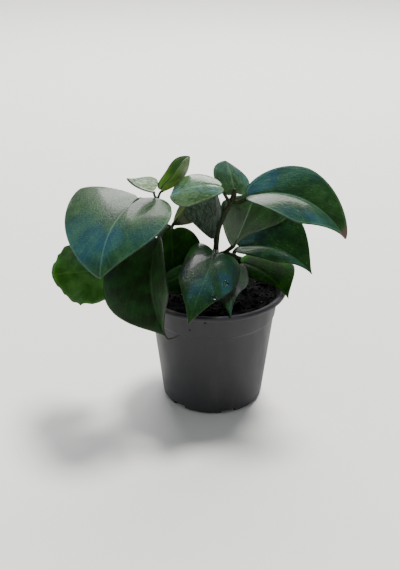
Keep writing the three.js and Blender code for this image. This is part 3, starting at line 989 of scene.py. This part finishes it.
    def build(self, wax: bpy.types.Material, bark: bpy.types.Material) -> bpy.types.Object:
        """Makes the leaf: blade, stalk and the thread that some tips end in.

        Args:
            wax: The blade's material.
            bark: The stalk's material.

        Returns:
            The piece.
        """
        shell = Shell()
        points, faces, plan, tone = self.blade()
        wear = np.zeros(len(points))
        if self.dry_tip:
            wear = np.clip((plan[:, 0] - self.length) / self.dry_tip + 1, 0, 1)
        shell.add(points, faces, plan, tone, wear)
        route = [*self.stalk, *(self.beneath(t, depth) for t, depth in self.ROOTING)]
        thick = self.stalk_radius
        given = [thick] * (len(self.stalk) + 1) + [thick * 0.8, 0.7]
        share = np.linspace(0, 1, self.STALK_STEPS + 1)
        radii = np.interp(share, np.linspace(0, 1, len(given)), given)
        radii = radii * (1 + 0.12 * np.cos(2 * math.pi * share) ** 2)
        shell.add(*tube(smooth_path(route, self.STALK_STEPS), radii, self.STALK_SIDES), slot=1)
        if self.tail:
            path = smooth_path([self.beneath(0.9, 0.0), *self.tail], self.TAIL_STEPS)
            radii = np.linspace(*self.TAIL_RADII, self.TAIL_STEPS + 1)
            shell.add(*tube(path, radii, self.TAIL_SIDES), slot=1)
        return shell.build(self.node, [wax, bark])


@dataclass
class Foliage:
    """All the leaves of the plant, each as its own piece."""

    leaves: tuple[Leaf, ...]

    def build(self, bark: bpy.types.Material) -> dict[str, Leaf]:
        """Makes every leaf.

        Args:
            bark: The material of the stalks.

        Returns:
            The leaves by name.
        """
        waxes = {tone: tone.value.material() for tone in Tone}
        for leaf in self.leaves:
            piece = leaf.build(waxes[leaf.tone], bark)
            young = leaf.node.startswith("leaf_tip")
            settle(piece, "young_leaf" if young else "leaf", leaf.node)
        return {leaf.node: leaf for leaf in self.leaves}


@dataclass
class Stem:
    """A stem as a centre line with a radius at each point, in millimetres, and its side shoot.

    The joints are the shares of its length at which a slight ring shows where leaves grew.
    """

    node: str
    points: tuple[Point, ...]
    radii: tuple[float, ...]
    shoot: tuple[Point, ...] = ()
    shoot_radii: tuple[float, ...] = ()
    joints: tuple[float, ...] = ()

    SHOOT_JOINTS = (0.45, 0.75)
    RING_HEIGHT = 0.3
    RING_SHARE = 0.018
    SIDES = 22
    STEPS = 90

    def build(self, bark: bpy.types.Material) -> bpy.types.Object:
        """Makes the stem with a slight ring at each leaf joint.

        Args:
            bark: Its material.

        Returns:
            The piece.
        """
        shell = Shell()
        for points, given, joints in (
            (self.points, self.radii, self.joints),
            (self.shoot, self.shoot_radii, self.SHOOT_JOINTS),
        ):
            if not points:
                continue
            share = np.linspace(0, 1, self.STEPS + 1)
            radii = np.interp(share, np.linspace(0, 1, len(given)), given)
            for joint in joints:
                ring = np.exp(-(((share - joint) / self.RING_SHARE) ** 2))
                radii = radii + self.RING_HEIGHT * ring
            shell.add(*tube(smooth_path(list(points), self.STEPS), radii, self.SIDES))
        return shell.build(self.node, [bark])


@dataclass
class Pot:
    """The 12 cm nursery pot, in millimetres."""

    rim_radius: float = 60.0
    height: float = 100.0
    foot_radius: float = 38.8
    wall: float = 1.5
    floor: float = 2.4
    collar_low_z: float = 77.0
    rim_low_z: float = 96.0
    notch_count: int = 6
    notch_width: float = 12.0
    notch_height: float = 4.0
    notch_turn: float = 18.0
    wall_top_radius: float = 50.3
    lip_reach: float = 6.2
    corner_reach: float = 0.6
    sides: int = 192
    ring_step: float = 3.0

    def profile(self) -> list[Pair]:
        """Gives the wall's outline, from the foot over the lip to the inner floor.

        Returns:
            Radius and height of each corner.
        """
        foot, rim, high = self.foot_radius, self.rim_radius, self.height
        collar, top = rim - self.lip_reach, self.wall_top_radius
        low, lip = self.collar_low_z, self.rim_low_z
        outside = [
            (0.0, 0.0),
            (foot, 0.0),
            (foot + 2, 0.9),
            (foot + 3, 3.0),
            (top, low - 0.6),
            (top + 0.9, low),
            (collar, lip - 0.4),
            (collar + 0.8, lip),
            (rim - 0.6, lip + 0.2),
            (rim, lip + 0.9),
            (rim, high - 1.4),
            (rim - 0.8, high - 0.3),
            (rim - 2, high),
            (rim - 3.8, high - 0.2),
            (rim - 4.8, high - 1),
        ]
        inside = [
            (collar - self.wall, lip - 1.5),
            (top + 0.9 - self.wall, low),
            (top - self.wall, low - 1),
            (foot + 3 - self.wall, 4.0),
            (foot + 0.3, self.floor),
            (0.0, self.floor),
        ]
        return outside + inside

    def softened(self) -> list[Pair]:
        """Rounds the profile's corners and splits its long runs.

        Returns:
            The finer profile.
        """
        given = [np.array(p) for p in self.profile()]
        result = [tuple(given[0])]
        for before, corner, after in zip(given, given[1:], given[2:]):
            back, ahead = before - corner, after - corner
            start = corner + back * min(self.corner_reach / np.linalg.norm(back), 0.45)
            end = corner + ahead * min(self.corner_reach / np.linalg.norm(ahead), 0.45)
            for t in (0.0, 0.33, 0.67, 1.0):
                result.append(tuple((1 - t) ** 2 * start + 2 * t * (1 - t) * corner + t**2 * end))
        result.append(tuple(given[-1]))
        finer = result[:1]
        for before, after in zip(result, result[1:]):
            steps = max(1, round(math.dist(before, after) / self.ring_step))
            start, stride = np.array(before), np.array(after) - before
            finer += [tuple(start + stride * k / steps) for k in range(1, steps + 1)]
        return finer

    def build(self, plastic: bpy.types.Material) -> bpy.types.Object:
        """Turns the wall, cuts the notches at its foot and dresses it.

        Args:
            plastic: Its material.

        Returns:
            The piece.
        """
        profile = self.softened()[1:-1]
        angles = np.linspace(0, 2 * math.pi, self.sides, endpoint=False)
        circle = np.stack([np.cos(angles), np.sin(angles)], -1)
        rings = [np.hstack([radius * circle, np.full((self.sides, 1), z)]) for radius, z in profile]
        shell = Shell()
        shell.add(np.vstack(rings), ring_faces(len(rings), self.sides))
        piece = shell.build("nursery_pot", [plastic])
        self._notch(piece)
        return piece

    def _notch(self, piece: bpy.types.Object) -> None:
        """Cuts the drain notches out of the foot's corner.

        Args:
            piece: The turned pot.
        """
        cutters = Shell()
        cube = [(0, 3, 2, 1), (4, 5, 6, 7), (0, 1, 5, 4), (1, 2, 6, 5), (2, 3, 7, 6), (3, 0, 4, 7)]
        w, h, mid = self.notch_width / 2, self.notch_height, self.foot_radius + 1
        corners = [(-w, -mid - 4), (w, -mid - 4), (w, -mid + 4), (-w, -mid + 4)]
        box = np.array([(x, y, z) for z in (-h, h) for x, y in corners])
        for notch in range(self.notch_count):
            angle = math.radians(self.notch_turn + 360 / self.notch_count * notch)
            cutters.add(box @ np.array(Matrix.Rotation(angle, 3, "Z")).T, cube)
        cutter = cutters.build("notch_cutter", [])
        cut = piece.modifiers.new("notches", "BOOLEAN")
        cut.object, cut.operation, cut.solver = cutter, "DIFFERENCE", "EXACT"
        shape = piece.evaluated_get(bpy.context.evaluated_depsgraph_get())
        piece.modifiers.clear()
        old, piece.data = piece.data, bpy.data.meshes.new_from_object(shape)
        piece.data.set_sharp_from_angle(angle=math.radians(40))
        bpy.data.meshes.remove(old)
        bpy.data.objects.remove(cutter)


@dataclass
class Soil:
    """The bed of potting mix and the loose grains on it, in millimetres."""

    rings: int = 70
    sectors: int = 200
    grains: int = 620
    largest_grain: float = 2.4
    seed: int = 11

    # Radius and height of the bed's mean level, and of the block's side below it.
    BED = ((51.1, 91.0), (44, 91.6), (33, 92.6), (22, 93.4), (11, 94.0), (0, 94.0))
    SIDE = ((49.9, 77.4), (48.45, 76.0), (39.95, 4.6), (38.6, 2.75))
    CLOD_WIDTH = 6.0
    CLOD_HEIGHT = 0.8
    # Two small dark lumps of the mix sit on the pot's collar: place, size and tone.
    COLLAR_LUMPS = ((-6.8, -52.9, 92.3, 0.8, 0.5), (-18.5, -48.8, 83.8, 0.7, 0.5))

    def height(self, x: float, y: float) -> float:
        """Gives the height of the bed at a place, with its clods."""
        radius = math.hypot(x, y)
        radii, heights = zip(*reversed(self.BED))
        level = float(np.interp(radius, radii, heights))
        # Two slow waves make the bed uneven, and the clods sink to nothing at the pot's wall.
        level += 0.9 * math.sin(0.21 * x + 1) * math.cos(0.17 * y) + 0.5 * math.sin(0.33 * y - 0.2 * x)
        clods = noise.fractal(Vector((x / self.CLOD_WIDTH, y / self.CLOD_WIDTH, 3.0)), 0.9, 2.1, 4)
        return level + self.CLOD_HEIGHT * clods * min(1.0, (52 - radius) / 3)

    def build(self, mix: bpy.types.Material) -> list[bpy.types.Object]:
        """Makes the bed and the grains.

        Args:
            mix: Their material.

        Returns:
            Both pieces.
        """
        shell = Shell()
        outline = [(radius, None) for radius in np.linspace(0.7, self.BED[0][0], self.rings)]
        outline += self.SIDE
        points = []
        for radius, z in outline:
            for turn in range(self.sectors):
                angle = 2 * math.pi * turn / self.sectors
                x, y = radius * math.cos(angle), radius * math.sin(angle)
                points.append((x, y, self.height(x, y) if z is None else z))
        shell.add(np.array(points), ring_faces(len(outline), self.sectors, inside_out=True))
        return [shell.build("soil_bed", [mix]), self._grains(mix)]

    def _grains(self, mix: bpy.types.Material) -> bpy.types.Object:
        """Scatters crumbs of peat and bark over the bed, and puts two small lumps on the pot's collar.

        Args:
            mix: Their material.

        Returns:
            The piece.
        """
        draw = random.Random(self.seed)
        mould = bmesh.new()
        bmesh.ops.create_icosphere(mould, subdivisions=2, radius=1.0)
        ball, faces = read_form(mould)
        places = []
        for _ in range(self.grains):
            radius, angle = 50 * math.sqrt(draw.random()), draw.uniform(0, 2 * math.pi)
            x, y = radius * math.cos(angle), radius * math.sin(angle)
            size = min(self.largest_grain, 0.45 * math.exp(draw.gauss(0.25, 0.55)))
            places.append((x, y, self.height(x, y) + size * 0.25, size, draw.random()))
        shell = Shell()
        for x, y, z, size, tone in [*places, *self.COLLAR_LUMPS]:
            spin = Matrix.Rotation(draw.uniform(0, math.pi), 3, "Z")
            tilt = Matrix.Rotation(draw.uniform(-0.5, 0.5), 3, "X")
            dents = np.sin(ball * draw.uniform(3, 5) + draw.uniform(0, 6)).prod(-1, keepdims=True)
            stretch = [draw.uniform(0.7, 1.6), draw.uniform(0.6, 1.0), draw.uniform(0.4, 0.8)]
            lump = ball * (1 + 0.35 * dents) * np.array(stretch)
            lump = lump @ np.array(spin @ tilt).T * size + np.array([x, y, z])
            shell.add(lump, faces, tone=np.full(len(ball), tone))
        return shell.build("soil_grains", [mix])


@dataclass
class Dew:
    """Drops of water that lie on a leaf.

    Each has its shares of the blade's length and half width, and its radius in millimetres.
    """

    places: tuple[Point, ...] = ((0.526, -0.63, 2.2), (0.717, -0.63, 2.3))
    squash: Point = (1.0, 0.9, 0.6)
    skin: float = 0.55

    def build(self, leaf: Leaf, water: bpy.types.Material) -> bpy.types.Object:
        """Lays each drop on the upper face.

        Args:
            leaf: The leaf that carries them.
            water: Their material.

        Returns:
            The piece.
        """
        mould = bmesh.new()
        bmesh.ops.create_uvsphere(mould, u_segments=28, v_segments=16, radius=1.0)
        ball, faces = read_form(mould)
        # This form's faces come in another order each run, so they are sorted to give one result.
        faces.sort()
        shell = Shell()
        for t, s, radius in self.places:
            at, off = np.array([t]), np.array([s])
            up = leaf.normal(at, off)[0]
            side = unit(np.cross(up, [0.0, 1.0, 0.3]))
            basis = np.array([side, np.cross(up, side), up])
            middle = leaf.surface(at, off)[0][0] + up * (self.skin + 0.2 * radius)
            shell.add(middle + ball * np.array(self.squash) * radius @ basis, faces)
        return shell.build("dew_drops", [water])


# Each stem has its node, the points of its centre line and the radii along it.
STEMS = (
    Stem(
        "stem_right",
        (
            (2, 6, 68), (2, 6, 90), (2, 4, 112), (2, 2, 129), (4, 2, 147), (9, 2, 161), (14, 2, 171),
            (16.5, 3, 181.5),
        ),
        (2.5, 2.5, 2.4, 2.3, 1.9, 1.9, 2.1, 1.5),
        shoot=((2, 3, 123), (9, 4, 125.5), (16, 5, 122.5), (22, 7, 119)),
        shoot_radii=(2.0, 2.0, 2.0, 1.7),
        joints=(0.42, 0.86),
    ),
    Stem(
        "stem_left",
        (
            (-11, 10, 66), (-12, 11, 88), (-22, 18, 111), (-30, 14, 133), (-35, 9, 145), (-42, 2, 153),
            (-47, -4, 167), (-44, -7, 178),
        ),
        (2.6, 2.6, 2.5, 2.3, 2.5, 2.0, 2.0, 1.6),
        joints=(0.57, 0.86),
    ),
)

# Each leaf has its node, tone, stalk, base, tip, half widths and roll, then its outline and form.
LEAVES = (
    Leaf(
        "leaf_left_large", Tone.MATURE, ((-46, -3, 164), (-51, -5, 172)),
        (-56, -8, 178), (-83, -78, 142), (39, 69), 8,
        sweep=(-8, -8), rise=(10, 10), fold=(5, 0), curl=(-25, -15),
        lobe=(0.2, 0.05), shoulder=(0.75, 0.35), belly=(0.5, 2.2), wide=(0.3, 0.02),
        keep=(0.5, 0.13), tip=(0.2, 0.15), tip_width=(0.6, 0.3),
    ),
    Leaf(
        "leaf_left_low", Tone.SUNLIT, ((-22, 17, 110), (-48, 14, 108)),
        (-74, 5, 110), (-126, -30, 122), (27, 28), -50,
        rise=(4, 4), curl=(-20, -20),
        lobe=(0.1, 0.1), shoulder=(0.6, 0.6), wide=(0.65, 0.55),
        tip=(-0.02, -0.02), tip_width=(0.25, 0.25), lumps=2.0,
    ),
    Leaf(
        "leaf_front_left", Tone.BRONZED, ((-37, 7, 147), (-39, 0, 148.5)),
        (-43, -10, 146), (-37, -64, 87), (24, 40),
        sweep=(-10, -12), rise=(8, 10), fold=(65, -5), curl=(0, -30),
        lobe=(0, 0.1), shoulder=(0.2, 0.8), wide=(0.65, 0.5),
        keep=(0.2, 0.5), tip=(0.15, 0.15), tip_width=(0.15, 0.3), stalk_radius=1.8,
        tail=((-36, -65, 86), (-32, -63, 84.5), (-27, -60, 85)),
    ),
    Leaf(
        "leaf_front_middle", Tone.SHADED, ((2, 2, 128.5), (2, -5, 131)),
        (2, -10, 132), (-20, -75, 102), (26, 24), -16,
        rise=(8, 10), curl=(-40, -45),
        lobe=(0.2, 0.4), shoulder=(0.9, 1.25), wide=(0.25, 0.3), keep=(0.25, 0.35),
        tip=(0.2, 0.2), tip_width=(0.2, 0.2),
    ),
    Leaf(
        "leaf_front_small", Tone.SATIN, ((13, 4.6, 124), (14.5, 2, 119)),
        (14, -7, 116), (13, -62, 99), (15, 17),
        rise=(-1, 4), curl=(-30, -30), lobe=(0.3, 0.15), shoulder=(0.8, 0.45), wide=(0.12, 0.4),
        keep=(0.3, 0.3), tip=(0.55, 0.3), tip_width=(-0.02, 0.12), stalk_radius=1.2,
    ),
    Leaf(
        "leaf_right_low", Tone.DULL, ((20, 6.3, 120.2), (20.5, 11, 115.5)),
        (22, 15, 111.5), (60, -24, 98), (26, 10),
        rise=(8, 10), fold=(30, -20), curl=(-40, -30), lobe=(0.15, 0.3), shoulder=(0.45, 0.7),
        wide=(0.6, 0.2), keep=(0.3, 0.5), tip=(0.1, 0.3),
    ),
    Leaf(
        "leaf_right_middle", Tone.SATIN, ((16, 5, 122.5), (18, 8, 126)),
        (20, 11, 127), (79, -14, 115), (32, 13), 5,
        rise=(12, 16), fold=(34, 0), curl=(12, -30), wide=(0.55, 0.55), keep=(0.2, 0.1),
    ),
    Leaf(
        "leaf_right_large", Tone.MATURE, ((14, 2, 171), (20, 0, 171.5)),
        (26, -4, 177), (100, -36, 155), (27, 27),
        rise=(22, 22), fold=(44, 0), curl=(-10, -30),
        lobe=(0.08, 0.03), shoulder=(0.4, 0.3), wide=(0.42, 0.55),
        keep=(0.2, 0.3), tip=(0.04, 0.1), tip_width=(0.35, 0.06), dry_tip=12.0,
    ),
    Leaf(
        "leaf_top_heart", Tone.BLOOMED, ((14.5, 3, 173), (16, 6, 172.5)),
        (17, 10, 175), (10, 32, 194.3), (13.5, 15), 0,
        rise=(2, 2), curl=(-20, -20),
        lobe=(0.15, 0.2), shoulder=(0.6, 0.8), wide=(0.5, 0.3),
        keep=(0.8, 0.3), tip=(0, 0.2), tip_width=(0.6, 0.3),
    ),
    Leaf(
        "leaf_top_middle", Tone.PALE, ((13, 2, 169), (9, -3, 178)),
        (6, -3, 185), (-34, -14, 181), (15, 17), -25,
        rise=(8, 8), curl=(-30, -25), shoulder=(0.35, 0.45), wide=(0.7, 0.45),
        keep=(0.7, 0.7), tip=(0, 0.1), tip_width=(0.5, 0.2), stalk_radius=1.3,
    ),
    Leaf(
        "leaf_tip_flat", Tone.SHEENED, ((-44.8, -7.2, 177), (-46, -9, 181)),
        (-46, -10, 184), (-66, -18, 198), (7, 12), -20,
        rise=(-3, -4), fold=(20, 25), curl=(20, 10),
        lobe=(0.1, 0.25), shoulder=(0.45, 0.9), wide=(0.35, 0.1),
        keep=(0.5, 0.3), tip=(0.1, 0.2), tip_width=(0.06, 0.35),
        stalk_radius=0.9,
    ),
    Leaf(
        "leaf_tip_cupped", Tone.YOUNG, ((-43.3, -6.6, 177), (-41.8, -6, 181)),
        (-41, -2.5, 181.8), (-19, 10, 206), (14, 18), 0,
        rise=(-9, -12), fold=(50, 50), curl=(10, 20),
        wide=(0.6, 0.6), keep=(0.8, 0.8), tip=(0, 0), tip_width=(0.75, 0.75), stalk_radius=0.9,
    ),
    Leaf(
        "leaf_back_middle", Tone.DARK, ((2.2, 2, 130), (2, 6, 132)),
        (1, 8, 135), (-4, 24, 181), (29, 5), -35,
        sweep=(-8, -8), rise=(0, 3), fold=(0, 40), lobe=(0, 0), shoulder=(0.4, 0.4), wide=(0.5, 0.5),
        stalk_radius=1.3,
    ),
    Leaf(
        "leaf_back_right", Tone.MATURE, ((9, 4, 125.5), (13, 4, 129)),
        (16, 4, 131), (34, 20, 173.5), (25, 32), 60,
        rise=(3, 3), curl=(20, 20),
        lobe=(0.05, -0.4), shoulder=(0.1, 0.22), belly=(0.3, 0.3), wide=(0.6, 0.8), keep=(0.3, 0.5),
    ),
    Leaf(
        "leaf_inner_hanging", Tone.DULL, ((-34, 10, 142), (-33, 7, 145)),
        (-34, 5, 145), (-32, -2, 103), (26, 16), -10,
        fold=(0, 10), wide=(0.45, 0.45), stalk_radius=1.3,
    ),
    Leaf(
        "leaf_inner_upright", Tone.OLIVE, ((-32, 12, 139), (-34, 16, 141)),
        (-33, 18, 144), (-7, 34, 175), (16, 8), -105,
        fold=(0, 70), lobe=(-0.1, -0.1), shoulder=(0.4, 0.4), wide=(0.5, 0.5), stalk_radius=1.2,
    ),
    Leaf(
        "leaf_inner_left", Tone.SHADED, ((2, 4, 113), (-2, 3, 117)),
        (-6, 2, 117), (-48, -27, 109), (15, 8), -45,
        lobe=(0.1, 0.1), wide=(0.5, 0.5), stalk_radius=1.3,
    ),
)


def aim(thing: bpy.types.Object, way: Vector) -> None:
    """Turns a lamp or the camera to look along a direction."""
    thing.rotation_euler = way.to_track_quat("-Z", "Y").to_euler()


@dataclass(frozen=True)
class Lamp:
    """A soft box that looks at the plant, in metres and watts, with its linear colour."""

    name: str
    place: Point
    size: Pair
    power: float
    colour: Point

    AIM = (0.0, 0.0, 0.12)

    def hang(self) -> None:
        """Hangs it in the scene."""
        data = bpy.data.lights.new(self.name, "AREA")
        data.shape = "RECTANGLE"
        data.size, data.size_y = self.size
        data.energy = self.power
        data.color = self.colour
        lamp = bpy.data.objects.new(self.name, data)
        bpy.context.scene.collection.objects.link(lamp)
        lamp.location = self.place
        aim(lamp, Vector(self.AIM) - Vector(self.place))


LAMPS = (
    Lamp("back_softbox", (0.12, 1.3, 1.1), (1.5, 0.95), 28.0, (1.0, 0.99, 0.97)),
    Lamp("left_softbox", (-1.3, -0.6, 0.5), (1.2, 0.8), 2.5, (0.9, 1.0, 0.92)),
)


class Axis(Enum):
    """The parts of a direction in the room, by their place in it."""

    ASIDE = 0
    BEHIND = 1
    HEIGHT = 2


@dataclass(frozen=True)
class Patch:
    """A soft-edged patch of the room's light, bounded by ramps over the direction that it comes from.

    Each ramp has its axis, where on it the ramp begins and ends, and how much shows at both.
    """

    ramps: tuple[tuple[Axis, float, float, float, float], ...]

    def share(self, graph: Graph, way: bpy.types.bpy_prop_collection) -> Socket:
        """Draws the patch.

        Args:
            graph: The room's graph.
            way: The direction's three parts.

        Returns:
            How much of the patch shows in each direction.
        """
        edges = [graph.add(Node.RAMP, way[axis.value], *ramp) for axis, *ramp in self.ramps]
        share = edges[0]
        for edge in edges[1:]:
            share = graph.add(Node.MULTIPLY, share, edge)
        return share


@dataclass(frozen=True)
class Room:
    """The soft room round the plant: dim and even, with patches that show as gloss on the wax.

    A blue one overhead and one at each side give the leaves their cool patches, a pale one behind
    gives them broad white gloss, and a low one before them a grey sheen. The colours are linear.
    """

    dim: Colour = (0.1, 0.105, 0.09, 1.0)
    low: Colour = (0.5, 0.56, 0.53, 1.0)
    blue: Colour = (0.47, 1.55, 3.9, 1.0)
    pale: Colour = (0.9, 0.9, 0.9, 1.0)
    even: Colour = (0.3, 0.31, 0.3, 1.0)

    OVERHEAD = Patch(((Axis.HEIGHT, 0.86, 0.94, 0.0, 0.5), (Axis.BEHIND, -0.15, 0.1, 0.0, 1.0)))
    LEFT = Patch(
        (
            (Axis.ASIDE, -0.4, -0.52, 0.0, 1.0),
            (Axis.HEIGHT, 0.38, 0.88, 0.0, 1.0),
            (Axis.BEHIND, 0.03, 0.14, 0.0, 1.0),
        )
    )
    RIGHT = Patch(
        (
            (Axis.ASIDE, 0.38, 0.5, 0.0, 0.8),
            (Axis.BEHIND, 0.02, 0.14, 0.0, 1.0),
            (Axis.BEHIND, 0.34, 0.46, 1.0, 0.0),
            (Axis.HEIGHT, 0.35, 0.45, 0.0, 1.0),
        )
    )
    BEFORE = Patch(((Axis.BEHIND, -0.1, -0.4, 0.0, 1.0), (Axis.HEIGHT, 0.25, 0.45, 1.0, 0.0)))
    BACK = Patch(
        (
            (Axis.BEHIND, 0.4, 0.7, 0.0, 1.0),
            (Axis.ASIDE, -0.4, -0.28, 0.0, 1.0),
            (Axis.ASIDE, 0.42, 0.75, 1.0, 0.0),
            (Axis.HEIGHT, 0.2, 0.4, 0.0, 1.0),
            (Axis.HEIGHT, 0.6, 0.8, 1.0, 0.0),
        )
    )

    def build(self) -> None:
        """Fills the room with its light."""
        world = bpy.data.worlds.new("soft_room")
        bpy.context.scene.world = world
        world.use_nodes = True
        graph = Graph(world.node_tree)
        way = graph.add(Node.SPLIT, graph.add(Node.DIRECTION)).node.outputs
        cool = self.OVERHEAD.share(graph, way)
        for side in (self.LEFT, self.RIGHT):
            cool = graph.add(Node.MAXIMUM, cool, side.share(graph, way))
        colour = graph.add(Node.BLEND, self.BEFORE.share(graph, way), self.dim, self.low)
        colour = graph.add(Node.BLEND, cool, colour, self.blue)
        colour = graph.add(Node.BLEND, self.BACK.share(graph, way), colour, self.pale)
        # Matt surfaces get an even light instead, so that the patches show in gloss alone.
        colour = graph.add(Node.BLEND, graph.add(Node.DIFFUSE_RAY), colour, self.even)
        graph.add(Node.ROOM, graph.add(Node.GLOW, colour, 1.0))


@dataclass
class Studio:
    """The picture's floor, even light and camera, in metres and degrees."""

    floor_reach: float = 6.0
    elevation: float = 26.5
    distance: float = 0.8
    focal_px: float = 979.0
    image_height_px: int = 570
    sensor_mm: float = 36.0
    target: Point = (-0.0107, 0.0, 0.0987)
    sun_strength: float = 4.5
    sun_width: float = 15.0
    sun_colour: Point = (1.0, 0.97, 0.92)
    sun_side: Point = (0.2, 0.3, 0.93)

    def build(self) -> None:
        """Sets up everything that isn't part of the plant."""
        self._floor()
        self._camera()
        Room().build()
        for lamp in LAMPS:
            lamp.hang()
        self._sun()

    def _floor(self) -> None:
        """Lays the white paper."""
        shell = Shell()
        reach = self.floor_reach / MM
        corners = [(-reach, -reach, 0), (reach, -reach, 0), (reach, reach, 0), (-reach, reach, 0)]
        shell.add(np.array(corners, float), [(0, 1, 2, 3)])
        floor = shell.build("floor", [PaleFloor().material()])

    def _camera(self) -> None:
        """Stands the camera where the photograph was taken from."""
        data = bpy.data.cameras.new("camera")
        data.sensor_width = self.sensor_mm
        data.lens = self.focal_px / self.image_height_px * self.sensor_mm
        camera = bpy.data.objects.new("camera", data)
        bpy.context.scene.collection.objects.link(camera)
        tilt = math.radians(self.elevation)
        back = Vector((0.0, -math.cos(tilt), math.sin(tilt)))
        camera.location = Vector(self.target) + back * self.distance
        aim(camera, -back)
        bpy.context.scene.camera = camera

    def _sun(self) -> None:
        """Adds the broad, even light that whitens the paper."""
        data = bpy.data.lights.new("even_light", "SUN")
        data.energy = self.sun_strength
        data.angle = math.radians(self.sun_width)
        data.color = self.sun_colour
        sun = bpy.data.objects.new("even_light", data)
        # It stays out of the gloss, where it would show as a hard round glint.
        sun.visible_glossy = False
        bpy.context.scene.collection.objects.link(sun)
        aim(sun, -Vector(self.sun_side))


def main() -> None:
    """Builds the studio, the pot, the soil, the stems and the leaves."""
    logging.basicConfig(level=logging.INFO, format="%(name)s: %(message)s")
    Studio().build()
    bark = YoungBark().material()
    settle(Pot().build(NurseryPlastic().material()), "pot", "pot")
    bed, grains = Soil().build(PottingMix().material())
    settle(bed, "soil", "soil")
    settle(grains, "soil")
    for stem in STEMS:
        settle(stem.build(bark), "stem", stem.node)
    leaves = Foliage(LEAVES).build(bark)
    settle(Dew().build(leaves["leaf_front_middle"], WaterDrop().material()), "leaf")


if __name__ == "__main__":
    main()
